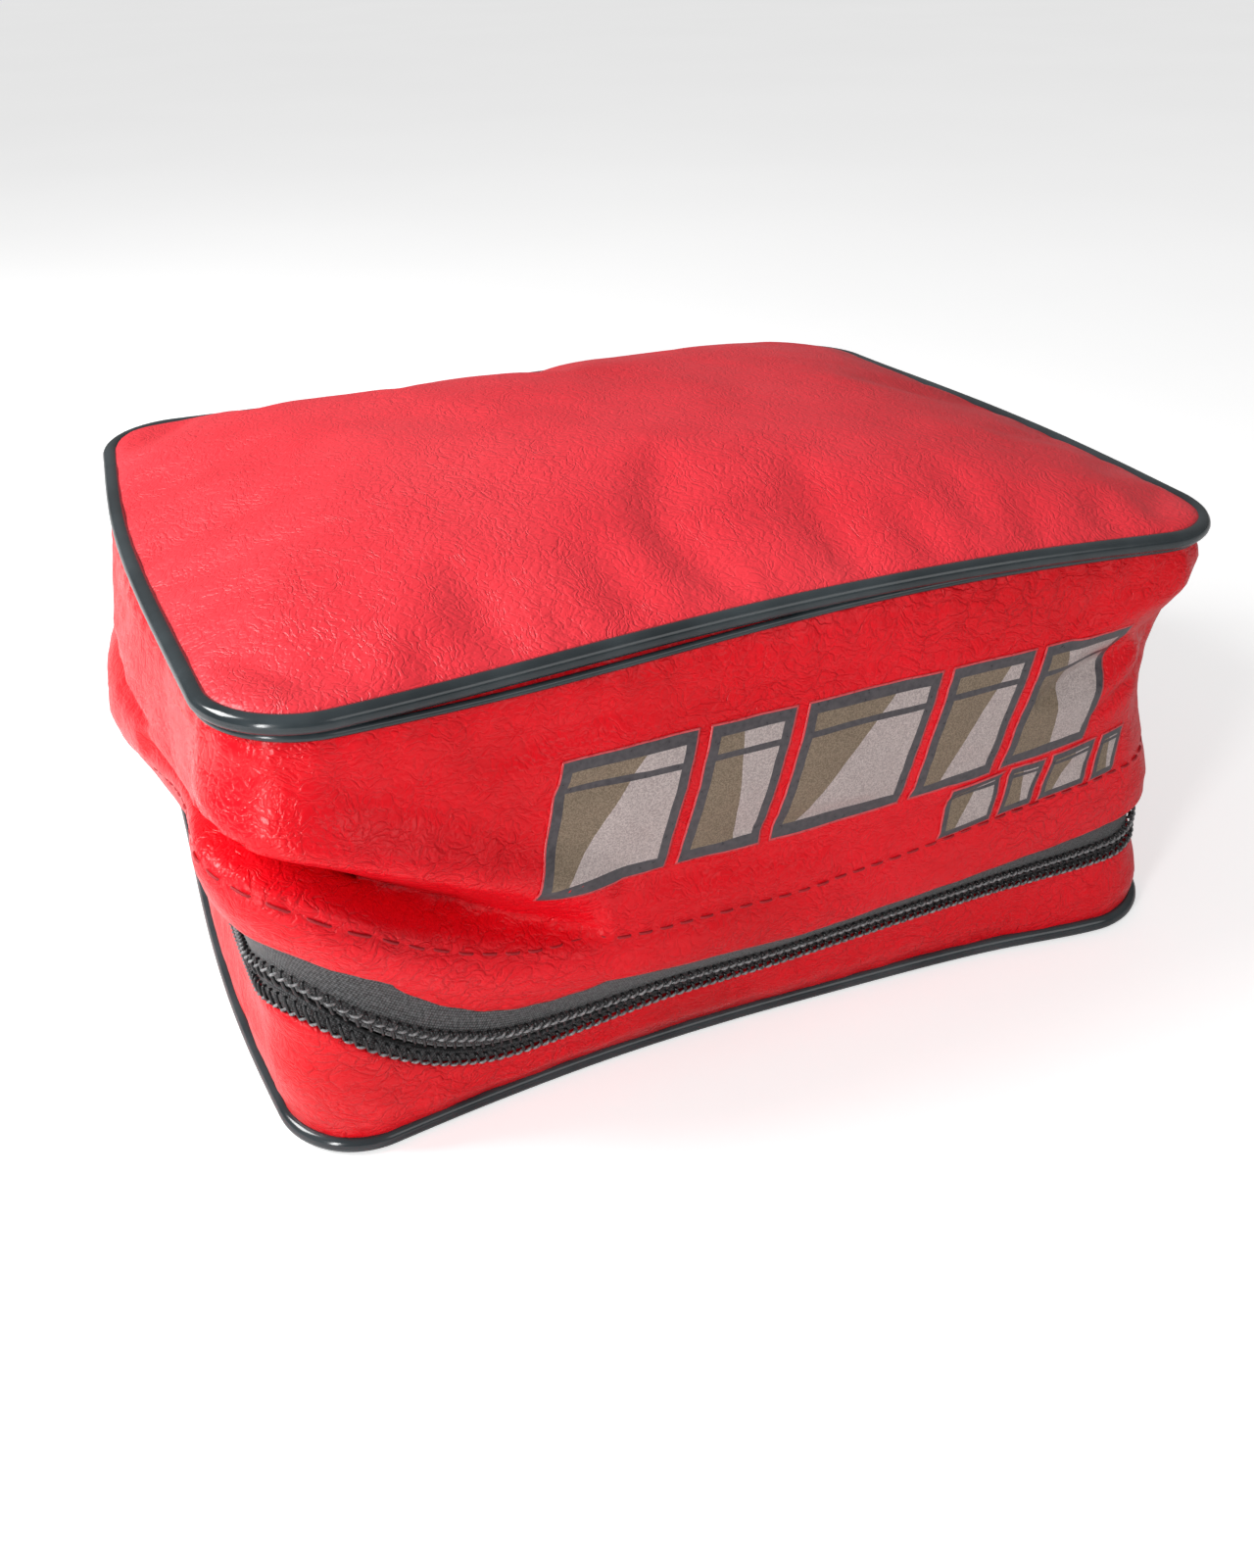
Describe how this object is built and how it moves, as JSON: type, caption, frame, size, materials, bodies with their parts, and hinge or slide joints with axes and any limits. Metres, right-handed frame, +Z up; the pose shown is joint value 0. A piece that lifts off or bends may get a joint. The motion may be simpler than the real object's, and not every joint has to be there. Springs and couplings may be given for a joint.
{
  "type": "soft zip case",
  "caption": "Small flat rectangular soft vinyl case with piped top and bottom edges, a deep crowned lid with a hem flap, a shallow base and a coil zip on three sides.",
  "frame": {"origin": "middle of the underside, where the case rests", "axes": "+X along the length, -Y towards the printed front, +Z up through the lid"},
  "size_m": [0.2357, 0.187, 0.113],
  "materials": {
    "vinyl_top": "embossed grain vinyl, satin",
    "vinyl_wall": "embossed grain vinyl, satin gloss",
    "piping": "glossy PVC",
    "zip_tape": "woven polyester tape",
    "zip_coil": "nylon coil",
    "zip_metal": "black enamelled die casting",
    "thread": "polyester thread",
    "flake_print": "metal flake print with dark outline"
  },
  "bodies": {
    "base": {"bottom_panel": "vinyl_wall", "bottom_piping": "piping", "lower_wall": "vinyl_wall", "back_wall_lower": "vinyl_wall", "lower_zip_tape": "zip_tape", "lower_zip_coil": "zip_coil", "lower_end_stop": "zip_metal", "start_stop": "zip_metal", "lower_tape_thread": "thread", "bottom_seam_thread": "thread", "lower_back_seam_threads": "thread"},
    "lid": {"top_panel": "vinyl_top", "top_piping": "piping", "upper_wall": "vinyl_wall", "back_wall_upper": "vinyl_wall", "upper_zip_tape": "zip_tape", "upper_zip_coil": "zip_coil", "upper_end_stop": "zip_metal", "hem_thread": "thread", "upper_tape_thread": "thread", "top_seam_thread": "thread", "upper_back_seam_threads": "thread", "large_graphic": "flake_print", "small_graphic": "flake_print"},
    "slider": {"slider_body": "zip_metal", "slider_bridge": "zip_metal"},
    "pull": {"pull_tab": "zip_metal"}
  },
  "joints": [
    {"name": "lid_hinge", "type": "hinge", "parent": "base", "child": "lid", "pos_m": [0, 0.0912, 0.026], "axis": [-1, 0, 0], "range_deg": [0, 100]},
    {"name": "slider_slide", "type": "slide", "parent": "base", "child": "slider", "axis": [0, -1, 0], "range_m": [0, 0.12]},
    {"name": "pull_swing", "type": "hinge", "parent": "slider", "child": "pull", "pos_m": [0.11695, 0.062, 0.026], "axis": [0, 0, -1], "range_deg": [0, 170]}
  ]
}
